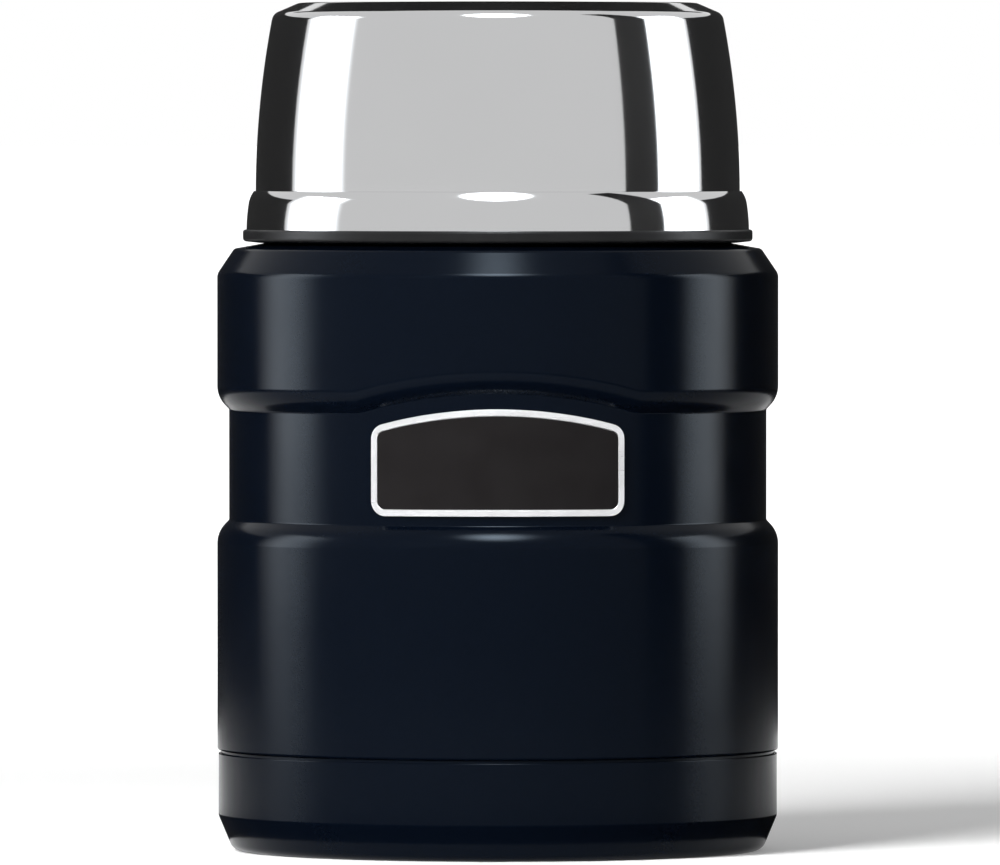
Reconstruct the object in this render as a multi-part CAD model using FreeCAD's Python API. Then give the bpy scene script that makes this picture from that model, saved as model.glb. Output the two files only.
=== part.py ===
import FreeCAD, Part
import math
import os

# Insulated food jar with a screw stopper and a screw lid that doubles as a bowl.
# Sizes are in millimetres. The origin is the middle of the foot, +Z is up,
# and the badge faces -Y.

# Body
body_radius = 47.0
neck_height = 19.2
shell_wall = 0.5
upper_band = 22.7
shoulder_edge_round = 2.0
chamfer_angle = 34.0
chamfer_rise = 4.2
shoulder_angle = 10.2
shoulder_round = 1.0

# Grip recess round the body
recess_depth = 1.98
lower_band = 38.55
recess_height = 18.5
recess_angle = 43.7
recess_crown = 4.6
arch_rise = 3.3
arch_radius = 93.0
arch_lap = 0.01
arch_reach_share = 1.1
arch_section_count = 8

# Neck and threads
neck_step = 10.0
neck_gap = 0.6
thread_lead = 8.0
thread_starts = 2
thread_height = 1.4
thread_root = 2.1
thread_crest = 1.1
thread_turn = 0.6
thread_fade = 0.08
thread_sunk = 0.2
thread_section_count = 12
thread_clearance = 0.5
lid_thread_rise = 4.6
stopper_thread_rise = 6.0

# Food vessel
vessel_inset = 5.8
vessel_wall = 0.5
floor_lift = 4.0
vessel_corner = 6.0
vessel_cone_height = 12.6
throat_step = 2.4
throat_drop = 17.4

# Base
cup_step = 0.2
cup_wall = 0.4
cup_height = 16.35
cup_chamfer_rise = 5.9
cup_chamfer_depth = 2.48
foot_round = 2.0
foot_width = 4.0
foot_recess = 1.8
foot_slope = 1.5
groove_width = 0.5
groove_bevel = 0.35
shell_lift = 0.6
disc_wall = 0.5
disc_drop = 1.9
disc_slope = 2.0
disc_rim = 2.0
dimple_depth = 1.0
dimple_radius = 3.3
dimple_slope = 1.0
seal_hole = 0.75
seal_bead_rise = 0.3

# Parts in the vacuum space
foil_gap = 0.15
foil_wall = 0.2
foil_margin = 6.0
getter_radius = 5.0
getter_height = 2.0
getter_offset = 20.0
clip_wall = 0.4
clip_width = 4.0
clip_foot = 3.0

# Badge
badge_half_width = 20.8
badge_lift = 1.6
badge_rise = 0.8
badge_corner = 2.5
badge_border = 1.1
badge_thickness = 0.7
badge_pocket = 0.3
inlay_sunk = 0.05
adhesive_wall = 0.12
film = 0.05

# Stopper
plug_wall = 2.0
spigot_step = 2.0
spigot_drop = 2.6
spigot_rise = 2.4
flange_inset = 1.0
flange_height = 2.0
cap_height = 6.6
cap_plate = 2.5
cap_rim = 3.2
cap_spigot = 3.0
cap_edge = 0.8
grip_count = 24
grip_radius = 2.0
grip_depth = 0.7
seal_height = 2.5
seal_width = 2.1
seal_lip = 0.9

# Bowl lid
barrel_height = 31.5
lid_face_inset = 4.4
lid_edge_inset = 2.96
lid_edge_drop = 1.9
lid_edge_round = 1.8
lid_barrel_step = 3.56
lid_barrel_taper = 2.71
lid_barrel_drop = 2.95
lid_barrel_bow = 0.65
lid_wall = 0.6
skirt_height = 6.5
ledge_width = 0.29
ledge_slope = 0.1
skirt_flare = 1.54
skirt_lift = 3.2
skirt_bow = 0.31
bead_step = 0.6
bead_height = 1.95
bead_bevel = 0.35
collar_foot_inset = 2.6
collar_skirt_gap = 0.5
collar_barrel_gap = 0.4
collar_step_rise = 3.0
collar_rise = 13.0
liner_wall = 0.5
liner_side_gap = 0.85
liner_taper = 1.3
liner_taper_drop = 9.0
liner_drop = 3.0
liner_corner = 5.0
liner_flange_gap = 0.5
gasket_height = 0.4
gasket_width = 1.3

# Hidden sides have flat bevels, each leg this share of the rounding that it backs
bevel_share = 0.6

# Clearances
snug = 0.1
running = 0.1
seat_gap = 0.25

# Worked out from the sizes above
full_turn = 360.0
quarter_turn = 90.0
axis = FreeCAD.Vector(0, 0, 1)
origin = FreeCAD.Vector(0, 0, 0)
recess_radius = body_radius - recess_depth
recess_slope = recess_depth / math.tan(math.radians(recess_angle))
cup_radius = body_radius - cup_step
foot_shell_radius = cup_radius - cup_wall - snug
groove_top = cup_height + groove_width
shell_bottom = cup_chamfer_rise + shell_lift
recess_bottom = groove_top + lower_band
recess_top = recess_bottom + recess_height
shoulder_edge = recess_top + upper_band
chamfer_top = shoulder_edge + chamfer_rise
chamfer_radius = body_radius - chamfer_rise * math.tan(math.radians(chamfer_angle))
shoulder_slope = math.tan(math.radians(shoulder_angle))
neck_radius = body_radius - neck_step
neck_root = chamfer_top + (chamfer_radius - neck_radius) * shoulder_slope
rim_height = chamfer_top + neck_height
neck_top = rim_height - vessel_wall
vessel_radius = body_radius - vessel_inset
vessel_neck_radius = neck_radius - shell_wall - neck_gap - vessel_wall
vessel_floor = shell_bottom + floor_lift
vessel_underside = vessel_floor - vessel_wall
throat_radius = vessel_neck_radius - throat_step
throat_height = rim_height - throat_drop
vessel_cone_start = throat_height - vessel_cone_height
seat_top = throat_height + throat_step
thread_pitch = thread_lead / thread_starts
lid_bore = neck_radius + thread_height + thread_clearance
plug_radius = vessel_neck_radius - thread_height - thread_clearance
lid_thread_start = neck_root + lid_thread_rise
stopper_thread_start = throat_height + stopper_thread_rise
disc_radius = foot_shell_radius - shell_wall - snug
disc_bottom = shell_bottom - disc_drop
dimple_bottom = disc_bottom + dimple_depth
badge_bottom = recess_bottom + badge_lift
badge_top = recess_top + badge_rise
badge_back = recess_radius + adhesive_wall + 2 * film
badge_front = badge_back + badge_thickness
spigot_radius = plug_radius - spigot_step
spigot_top = throat_height + spigot_rise
plug_bottom = throat_height - spigot_drop
plug_bore = plug_radius - plug_wall
flange_radius = neck_radius - flange_inset
flange_bottom = rim_height + running
cap_bottom = flange_bottom + flange_height
cap_top = cap_bottom + cap_height
lid_barrel_radius = neck_radius + lid_barrel_step
lid_edge_radius = lid_barrel_radius - lid_edge_inset
lid_face_radius = lid_edge_radius - lid_face_inset
skirt_radius = lid_barrel_radius + skirt_flare
skirt_bottom = chamfer_top + skirt_lift
ledge_height = skirt_bottom + skirt_height
lid_top = ledge_height + barrel_height
bead_radius = skirt_radius + bead_step
barrel_bore = lid_barrel_radius - lid_wall
collar_foot_radius = bead_radius - collar_foot_inset
collar_bottom = skirt_bottom - bead_height
collar_step = skirt_bottom + collar_step_rise
collar_top = skirt_bottom + collar_rise
flange_of_liner = collar_top + gasket_height + 2 * running
liner_mouth = neck_radius + liner_side_gap
liner_top_radius = liner_mouth - liner_taper
liner_taper_top = lid_top - liner_taper_drop
liner_ceiling = lid_top - liner_drop


def at(radius, height):
    """A point of a section, in the half plane where Y is nought."""
    return FreeCAD.Vector(radius, 0, height)


def sharp(radius, height):
    """A corner with no rounding."""
    return (radius, height, 0)


def shoulder_height(radius):
    """The height of the sloping shoulder at a radius."""
    return chamfer_top + (chamfer_radius - radius) * shoulder_slope


def rounded_path(corners):
    """Edges through the corners (radius, height, rounding), with each corner rounded by an arc."""
    points = [at(radius, height) for radius, height, rounding in corners]
    edges = []
    start = points[0]
    for before, corner, after, entry in zip(points, points[1:], points[2:], corners[1:]):
        rounding = entry[2]
        into = (corner - before).normalize()
        out = (after - corner).normalize()
        turn = into.getAngle(out)
        if rounding and turn:
            reach = rounding * math.tan(turn / 2)
            first = corner - into * reach
            last = corner + out * reach
            middle = corner + (out - into).normalize() * (rounding / math.cos(turn / 2) - rounding)
            edges.append(Part.LineSegment(start, first).toShape())
            edges.append(Part.Arc(first, middle, last).toShape())
            start = last
        else:
            edges.append(Part.LineSegment(start, corner).toShape())
            start = corner
    edges.append(Part.LineSegment(start, points[-1]).toShape())
    return edges


def moved_path(corners, distance):
    """The same path moved sideways: outwards, or to the right of its run, by the distance."""
    points = [at(radius, height) for radius, height, rounding in corners]
    runs = [(after - before).normalize() for before, after in zip(points, points[1:])]
    sides = [FreeCAD.Vector(run.z, 0, -run.x) for run in runs]
    moved = []
    for index, point in enumerate(points):
        side = sides[max(index - 1, 0)]
        other = sides[min(index, len(sides) - 1)]
        place = point + (side + other) * (distance / (1 + side.dot(other)))
        bends_in = side.cross(other).y < 0
        rounding = corners[index][2]
        if rounding:
            rounding += distance if bends_in else -distance
        moved.append((place.x, place.z, rounding))
    return moved


def turned_edges(edges):
    """A solid turned about the axis from the edges of a closed section."""
    face = Part.Face(Part.Wire(Part.__sortEdges__(edges)))
    return face.revolve(origin, axis, full_turn)


def closing_edge(corners):
    """The straight edge that joins the last corner to the first."""
    last = at(corners[-1][0], corners[-1][1])
    first = at(corners[0][0], corners[0][1])
    return Part.LineSegment(last, first).toShape()


def turned(corners):
    """A solid turned about the axis from the corners of a closed section."""
    return turned_edges(rounded_path(corners) + [closing_edge(corners)])


def sheet(corners, wall):
    """A turned sheet of even wall, drawn in from its outer side."""
    inner = moved_path(corners, -wall)
    if not corners[0][0]:
        inner[0] = (0, inner[0][1], 0)
    return turned(corners + inner[::-1])


def ring(inner, outer, bottom, top):
    """A plain ring with a square section."""
    return turned([sharp(inner, bottom), sharp(outer, bottom), sharp(outer, top), sharp(inner, top)])


def bowed_edge(first, last, bow):
    """An arc between two points that bulges by the bow to the right of its run."""
    run = last - first
    side = FreeCAD.Vector(run.z, 0, -run.x).normalize()
    return Part.Arc(first, (first + last) * 0.5 + side * bow, last).toShape()


def ridge(root_radius, height_out, start_height, start_angle):
    """One helical thread ridge with ends that fade into the wall that carries it."""
    outward = math.copysign(1, height_out)
    sunk = root_radius - outward * thread_sunk
    crest_full = root_radius + height_out
    sections = []
    for step in range(thread_section_count + 1):
        share = step / thread_section_count
        fade = min(1, share / thread_fade, (1 - share) / thread_fade)
        crest = sunk + outward * thread_sunk / 2 + (crest_full - sunk - outward * thread_sunk / 2) * fade
        height = start_height + thread_lead * thread_turn * share
        corners = [
            at(sunk, height - thread_root / 2),
            at(crest, height - thread_crest / 2),
            at(crest, height + thread_crest / 2),
            at(sunk, height + thread_root / 2),
        ]
        section = Part.makePolygon(corners + corners[:1])
        section.rotate(origin, axis, start_angle + full_turn * thread_turn * share)
        sections.append(section)
    return Part.makeLoft(sections, True, False)


def threaded(solid, root_radius, height_out, start_height):
    """The solid with its thread: ridges spaced evenly round the axis."""
    spacing = full_turn / thread_starts
    ridges = [
        ridge(root_radius, height_out, start_height, start * spacing)
        for start in range(thread_starts)
    ]
    return solid.fuse(ridges).Solids[0]


def arch_tool(inset):
    """What the recess takes from the wall above it, arched over the badge."""
    outer = body_radius + recess_depth
    inner = recess_radius - recess_depth
    half_angle = math.sqrt(2 * arch_radius * arch_rise) / body_radius * arch_reach_share
    sections = []
    for step in range(arch_section_count + 1):
        angle = half_angle * (2 * step / arch_section_count - 1)
        rise = arch_rise - (body_radius * angle) ** 2 / (2 * arch_radius)
        root = recess_top + rise
        crown = root + recess_slope
        upper_side = moved_path([
            sharp(recess_radius, root - recess_slope),
            sharp(recess_radius, root),
            (body_radius, crown, recess_crown),
            sharp(body_radius, crown + recess_crown),
        ], arch_lap - inset)
        corners = [
            sharp(inner, recess_bottom + recess_slope * 2),
            sharp(outer, recess_bottom + recess_slope * 2),
            sharp(outer, crown + recess_crown),
        ] + upper_side[:0:-1] + [sharp(inner, upper_side[1][1])]
        section = Part.Wire(Part.__sortEdges__(rounded_path(corners) + [closing_edge(corners)]))
        section.rotate(origin, axis, math.degrees(angle) - quarter_turn)
        sections.append(section)
    return Part.makeLoft(sections, True, False)


def body_mass(inset):
    """The body as if it were solid, drawn in by the inset all round."""
    edge_round = 0 if inset else shoulder_edge_round
    top_round = 0 if inset else shoulder_round
    path = moved_path([
        sharp(foot_shell_radius, shell_bottom),
        sharp(foot_shell_radius, groove_top),
        sharp(body_radius - groove_bevel, groove_top),
        sharp(body_radius, groove_top + groove_bevel),
        (body_radius, recess_bottom - recess_slope, recess_crown),
        sharp(recess_radius, recess_bottom),
        sharp(recess_radius, recess_top),
        (body_radius, recess_top + recess_slope, recess_crown),
        (body_radius, shoulder_edge, edge_round),
        (chamfer_radius, chamfer_top, top_round),
        sharp(neck_radius, neck_root),
        sharp(neck_radius, neck_top),
    ], -inset)
    lower_side = path[:6]
    upper_side = path[6:]
    lower = turned([sharp(0, shell_bottom)] + lower_side + [sharp(0, lower_side[-1][1])])
    upper = turned([sharp(0, upper_side[0][1])] + upper_side + [sharp(0, neck_top)])
    overlap = arch_rise + recess_slope
    middle = Part.makeCylinder(recess_radius - inset, recess_top - recess_bottom + 2 * overlap)
    middle.translate(FreeCAD.Vector(0, 0, recess_bottom - overlap))
    return upper.cut(arch_tool(inset)).fuse([lower, middle]).removeSplitter().Solids[0]


def outer_shell():
    """Steel body with the arched recess, shoulder and neck, and the thread for the bowl lid."""
    shell = body_mass(0).cut(body_mass(shell_wall)).Solids[0]
    return threaded(shell, neck_radius, thread_height, lid_thread_start)


def inner_vessel():
    """Steel vessel that holds the food, with the stopper's seat and thread in its neck."""
    outer = moved_path([
        sharp(0, vessel_floor),
        sharp(vessel_radius - vessel_corner * bevel_share, vessel_floor),
        sharp(vessel_radius, vessel_floor + vessel_corner * bevel_share),
        sharp(vessel_radius, vessel_cone_start),
        sharp(throat_radius, throat_height),
        sharp(vessel_neck_radius, seat_top),
        sharp(vessel_neck_radius, neck_top),
    ], vessel_wall)
    inner = [
        sharp(vessel_neck_radius, rim_height),
        sharp(vessel_neck_radius, seat_top),
        sharp(throat_radius, throat_height),
        sharp(vessel_radius, vessel_cone_start),
        (vessel_radius, vessel_floor, vessel_corner),
        sharp(0, vessel_floor),
    ]
    lip = [sharp(neck_radius, neck_top), sharp(neck_radius, rim_height)]
    vessel = turned(outer + lip + inner)
    return threaded(vessel, vessel_neck_radius, -thread_height, stopper_thread_start + thread_pitch / 2)


def base_disc():
    """Disc welded into the foot of the outer shell, dimpled round the sealed evacuation hole."""
    return sheet([
        sharp(seal_hole, dimple_bottom),
        sharp(dimple_radius, dimple_bottom),
        sharp(dimple_radius + dimple_slope, disc_bottom),
        sharp(disc_radius - disc_slope, disc_bottom),
        sharp(disc_radius, shell_bottom),
        sharp(disc_radius, shell_bottom + disc_rim),
    ], disc_wall)


def vacuum_seal_bead():
    """Solder bead that closes the evacuation hole from below."""
    head = dimple_radius - snug
    stem = seal_hole - snug
    return turned([
        sharp(0, dimple_bottom - dimple_depth),
        sharp(head - dimple_depth, dimple_bottom - dimple_depth),
        sharp(head, dimple_bottom),
        sharp(stem, dimple_bottom),
        sharp(stem, dimple_bottom + disc_wall + seal_bead_rise),
        sharp(0, dimple_bottom + disc_wall + seal_bead_rise),
    ])


def base_cup():
    """Steel cup pressed over the foot, with the ring that the jar stands on."""
    foot_edge = cup_radius - cup_chamfer_depth
    foot_inner = foot_edge - foot_width
    return sheet([
        sharp(0, foot_recess),
        sharp(foot_inner - foot_slope, foot_recess),
        sharp(foot_inner, 0),
        (foot_edge, 0, foot_round),
        sharp(cup_radius, cup_chamfer_rise),
        sharp(cup_radius, cup_height),
    ], cup_wall)


def radiation_foil():
    """Foil wrapped round the vessel to reflect heat."""
    inner = vessel_radius + vessel_wall + foil_gap
    return ring(inner, inner + foil_wall, vessel_floor + foil_margin, vessel_cone_start - foil_margin)


def getter():
    """Pellet that keeps the vacuum, under the vessel's floor."""
    pellet = Part.makeCylinder(getter_radius, getter_height)
    pellet.translate(FreeCAD.Vector(getter_offset, 0, vessel_underside - snug - getter_height))
    return pellet


def getter_clip():
    """Bent strap that holds the getter against the vessel's floor."""
    inside = getter_radius + snug
    outside = inside + clip_wall
    foot = outside + clip_foot
    bed = vessel_underside - getter_height - 2 * snug
    corners = [
        (-foot, vessel_underside),
        (-foot, vessel_underside - clip_wall),
        (-outside, vessel_underside - clip_wall),
        (-outside, bed - clip_wall),
        (outside, bed - clip_wall),
        (outside, vessel_underside - clip_wall),
        (foot, vessel_underside - clip_wall),
        (foot, vessel_underside),
        (inside, vessel_underside),
        (inside, bed),
        (-inside, bed),
        (-inside, vessel_underside),
    ]
    points = [FreeCAD.Vector(getter_offset + across, clip_width / 2, height) for across, height in corners]
    face = Part.Face(Part.makePolygon(points + points[:1]))
    return face.extrude(FreeCAD.Vector(0, -clip_width, 0))


def badge_prism(inset):
    """Block with the badge's outline, drawn in by the inset, that reaches out to the front."""
    half = badge_half_width - inset
    along = recess_radius * math.asin(badge_half_width / recess_radius)
    drop = along ** 2 / (2 * arch_radius)
    bottom = badge_bottom + inset
    top = badge_top - inset
    corner = FreeCAD.Vector(half, 0, top - drop)
    far_corner = FreeCAD.Vector(-half, 0, top - drop)
    foot = FreeCAD.Vector(half, 0, bottom)
    far_foot = FreeCAD.Vector(-half, 0, bottom)
    edges = [
        Part.LineSegment(far_foot, foot).toShape(),
        Part.LineSegment(foot, corner).toShape(),
        Part.Arc(corner, FreeCAD.Vector(0, 0, top), far_corner).toShape(),
        Part.LineSegment(far_corner, far_foot).toShape(),
    ]
    block = Part.Face(Part.Wire(edges)).extrude(FreeCAD.Vector(0, -2 * body_radius, 0))
    upright = [edge for edge in block.Edges if edge.BoundBox.YLength > body_radius]
    return block.makeFillet(badge_corner - inset, upright)


def badge_layer(back, face, inset):
    """A layer of the badge, curved round the recess between two radii."""
    margin = badge_corner
    layer = ring(back, face, badge_bottom - margin, badge_top + margin)
    return layer.common(badge_prism(inset)).Solids[0]


def badge_plate():
    """Curved plate with a raised border round a shallow pocket."""
    plate = badge_layer(badge_back, badge_front, 0)
    pocket = badge_layer(badge_front - badge_pocket, badge_front + badge_thickness, badge_border)
    return plate.cut(pocket).Solids[0]


def badge_inlay():
    """Plain dark field that fills the plate's pocket."""
    return badge_layer(badge_front - badge_pocket + film, badge_front - inlay_sunk, badge_border + film)


def badge_adhesive():
    """Film that holds the badge to the body."""
    return badge_layer(recess_radius + film, badge_back - film, badge_border)


def stopper_plug():
    """Threaded cup that screws into the neck, with a groove for its seal."""
    lip = spigot_radius + seal_lip
    lip_top = spigot_top - seal_height - 2 * running
    bore_step = spigot_top + plug_wall
    plug = turned([
        sharp(0, plug_bottom),
        sharp(lip - seal_lip, plug_bottom),
        sharp(lip, plug_bottom + seal_lip),
        sharp(lip, lip_top),
        sharp(spigot_radius, lip_top),
        sharp(spigot_radius, spigot_top),
        sharp(plug_radius, spigot_top),
        sharp(plug_radius, flange_bottom),
        sharp(flange_radius, flange_bottom),
        sharp(flange_radius, cap_bottom),
        sharp(plug_bore, cap_bottom),
        sharp(plug_bore, bore_step),
        sharp(spigot_radius - plug_wall, bore_step),
        sharp(spigot_radius - plug_wall, plug_bottom + plug_wall),
        sharp(0, plug_bottom + plug_wall),
    ])
    return threaded(plug, plug_radius, thread_height, stopper_thread_start)


def stopper_foam():
    """Insulating foam that fills the plug."""
    step = spigot_top + plug_wall + snug
    lower = spigot_radius - plug_wall - snug
    bottom = plug_bottom + plug_wall + snug
    top = cap_bottom - cap_spigot - snug
    return turned([
        sharp(0, bottom),
        sharp(lower, bottom),
        sharp(lower, step),
        sharp(plug_bore - snug, step),
        sharp(plug_bore - snug, top),
        sharp(0, top),
    ])


def stopper_cap():
    """Dished cap that closes the plug, with finger grips round its edge."""
    spigot = plug_bore - snug
    floor = cap_bottom - cap_spigot
    cap = turned([
        sharp(0, floor),
        sharp(spigot, floor),
        sharp(spigot, cap_bottom),
        sharp(flange_radius, cap_bottom),
        sharp(flange_radius, cap_top - cap_edge),
        sharp(flange_radius - cap_edge, cap_top),
        sharp(flange_radius - cap_rim + cap_edge, cap_top),
        sharp(flange_radius - cap_rim, cap_top - cap_edge),
        sharp(flange_radius - cap_rim - cap_edge, floor + cap_plate),
        sharp(0, floor + cap_plate),
    ])
    grip = Part.makeCylinder(grip_radius, cap_height + cap_edge)
    grip.translate(FreeCAD.Vector(flange_radius + grip_radius - grip_depth, 0, cap_bottom + cap_edge))
    for index in range(grip_count):
        cutter = grip.copy()
        cutter.rotate(origin, axis, full_turn * index / grip_count)
        cap = cap.cut(cutter)
    return cap.Solids[0]


def stopper_seal():
    """Soft ring that closes on the sloping seat under the thread."""
    top = spigot_top - running
    bottom = top - seal_height
    outer = spigot_radius + seal_width
    slant = throat_radius - throat_height - running * math.sqrt(2)
    return turned([
        sharp(spigot_radius + running, bottom),
        sharp(bottom + slant, bottom),
        sharp(outer, outer - slant),
        sharp(outer, top),
        sharp(spigot_radius + running, top),
    ])


def bowl_outer_shell():
    """Outer wall of the bowl lid: skirt, ledge, bowed barrel and flat top."""
    skirt_top = at(lid_barrel_radius + ledge_width, ledge_height - ledge_slope)
    ledge = at(lid_barrel_radius, ledge_height)
    barrel_top = at(lid_barrel_radius - lid_barrel_taper, lid_top - lid_barrel_drop)
    inward = FreeCAD.Vector(-lid_wall, 0, 0)
    crown = [
        sharp(barrel_top.x, barrel_top.z),
        (lid_edge_radius, lid_top - lid_edge_drop, lid_edge_round),
        sharp(lid_face_radius, lid_top),
        sharp(0, lid_top),
    ]
    under = [(radius, height, 0) for radius, height, rounding in moved_path(crown, -lid_wall)]
    inner_top = at(under[0][0], under[0][1])
    outer_side = [
        bowed_edge(at(skirt_radius, skirt_bottom), skirt_top, skirt_bow),
        Part.LineSegment(skirt_top, ledge).toShape(),
        bowed_edge(ledge, barrel_top, lid_barrel_bow),
    ]
    inner_middle = (ledge + inward + inner_top) * 0.5 + FreeCAD.Vector(lid_barrel_bow, 0, 0)
    inner_side = [
        Part.LineSegment(ledge + inward, inner_middle).toShape(),
        Part.LineSegment(inner_middle, inner_top).toShape(),
        Part.LineSegment(skirt_top + inward, ledge + inward).toShape(),
        Part.LineSegment(at(skirt_radius, skirt_bottom) + inward, skirt_top + inward).toShape(),
        Part.LineSegment(at(skirt_radius, skirt_bottom), at(skirt_radius, skirt_bottom) + inward).toShape(),
        Part.LineSegment(at(0, lid_top), at(0, lid_top - lid_wall)).toShape(),
    ]
    return turned_edges(outer_side + rounded_path(crown) + rounded_path(under) + inner_side)


def bowl_collar():
    """Plastic collar with the bead that shows under the skirt and the thread that grips the neck."""
    skirt_side = skirt_radius - lid_wall - collar_skirt_gap
    barrel_side = barrel_bore - collar_barrel_gap
    collar = turned([
        sharp(lid_bore, shoulder_height(lid_bore) + seat_gap),
        sharp(collar_foot_radius, shoulder_height(collar_foot_radius) + seat_gap),
        sharp(bead_radius - bead_bevel, collar_bottom),
        sharp(bead_radius, collar_bottom + bead_bevel),
        sharp(bead_radius, skirt_bottom - bead_bevel),
        sharp(bead_radius - bead_bevel, skirt_bottom),
        sharp(skirt_side, skirt_bottom),
        sharp(skirt_side, collar_step),
        sharp(barrel_side, collar_step),
        sharp(barrel_side, collar_top),
        sharp(lid_bore, collar_top),
    ])
    return threaded(collar, lid_bore, -thread_height, lid_thread_start + thread_pitch / 2)


def bowl_inner_liner():
    """Inner wall of the bowl, with the flange that closes the space between the walls."""
    inner = [
        sharp(liner_mouth, flange_of_liner),
        sharp(liner_top_radius, liner_taper_top),
        (liner_top_radius, liner_ceiling, liner_corner),
        sharp(0, liner_ceiling),
    ]
    outer = moved_path([
        sharp(liner_mouth, flange_of_liner),
        sharp(liner_top_radius, liner_taper_top),
        sharp(liner_top_radius, liner_ceiling - liner_corner * bevel_share),
        sharp(liner_top_radius - liner_corner * bevel_share, liner_ceiling),
        sharp(0, liner_ceiling),
    ], liner_wall)
    flange = barrel_bore - liner_flange_gap
    flange_top = flange_of_liner + liner_wall
    mouth = [
        sharp(liner_mouth + liner_wall, flange_top),
        sharp(flange, flange_top),
        sharp(flange, flange_of_liner),
    ]
    return turned(inner + outer[:0:-1] + mouth)


def liner_gasket():
    """Soft ring between the collar and the liner's flange."""
    outer = barrel_bore - liner_flange_gap
    bottom = collar_top + running
    return ring(outer - gasket_width, outer, bottom, bottom + gasket_height)


builders = [
    outer_shell,
    inner_vessel,
    base_disc,
    vacuum_seal_bead,
    base_cup,
    radiation_foil,
    getter,
    getter_clip,
    badge_plate,
    badge_inlay,
    badge_adhesive,
    stopper_plug,
    stopper_foam,
    stopper_cap,
    stopper_seal,
    bowl_outer_shell,
    bowl_collar,
    bowl_inner_liner,
    liner_gasket,
]

os.makedirs("parts", exist_ok=True)
for build in builders:
    shape = build()
    shape.exportStep("parts/" + build.__name__ + ".step")
    print(build.__name__, len(shape.Solids), shape.isValid(), round(shape.Volume, 1))
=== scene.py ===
"""Looks of an insulated food jar with a screw stopper and a screw lid that doubles as a bowl.

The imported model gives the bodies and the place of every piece. The turned pieces that show are
made again here with fine roundings, and every piece gets its finish.
"""
import logging
import math
from dataclasses import dataclass
from enum import Enum
from typing import Dict, List, Sequence, Tuple

import bmesh
import bpy
from mathutils import Matrix, Vector


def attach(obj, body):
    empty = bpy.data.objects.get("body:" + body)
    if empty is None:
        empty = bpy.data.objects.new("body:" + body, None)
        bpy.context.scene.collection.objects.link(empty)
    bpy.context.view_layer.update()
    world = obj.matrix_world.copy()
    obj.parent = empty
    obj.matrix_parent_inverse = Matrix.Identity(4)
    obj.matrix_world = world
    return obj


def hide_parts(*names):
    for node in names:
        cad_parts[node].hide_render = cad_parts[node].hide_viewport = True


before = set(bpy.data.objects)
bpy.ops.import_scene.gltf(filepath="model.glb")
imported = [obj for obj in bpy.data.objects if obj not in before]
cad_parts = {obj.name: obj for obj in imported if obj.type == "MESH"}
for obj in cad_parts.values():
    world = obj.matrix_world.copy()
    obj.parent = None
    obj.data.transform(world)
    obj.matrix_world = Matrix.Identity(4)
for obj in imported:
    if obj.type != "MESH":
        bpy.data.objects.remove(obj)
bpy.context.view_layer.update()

LOG = logging.getLogger("food_jar")
MM = 0.001
ROUND_STEPS = 288
SHARP_ANGLE = math.radians(28)
TOUCHING = 1e-7
SLIVER = 1e-8
EVEN_WEIGHT = 100

Colour = Tuple[float, float, float]
Point = Tuple[float, float]

PATTERN_SPAN: Point = (0.3, 0.7)


class Body(Enum):
    """The bodies that pieces ride on."""

    JAR = "jar"
    STOPPER_RING = "stopper_ring"
    STOPPER = "stopper"
    BOWL_RING = "bowl_ring"
    BOWL = "bowl"


@dataclass(frozen=True)
class Corner:
    """A corner of a turned section, in millimetres, with the radius that rounds it."""

    radius: float
    height: float
    rounding: float = 0.0

    def place(self) -> Vector:
        """The corner as a flat vector of radius and height."""
        return Vector((self.radius, self.height))


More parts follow.
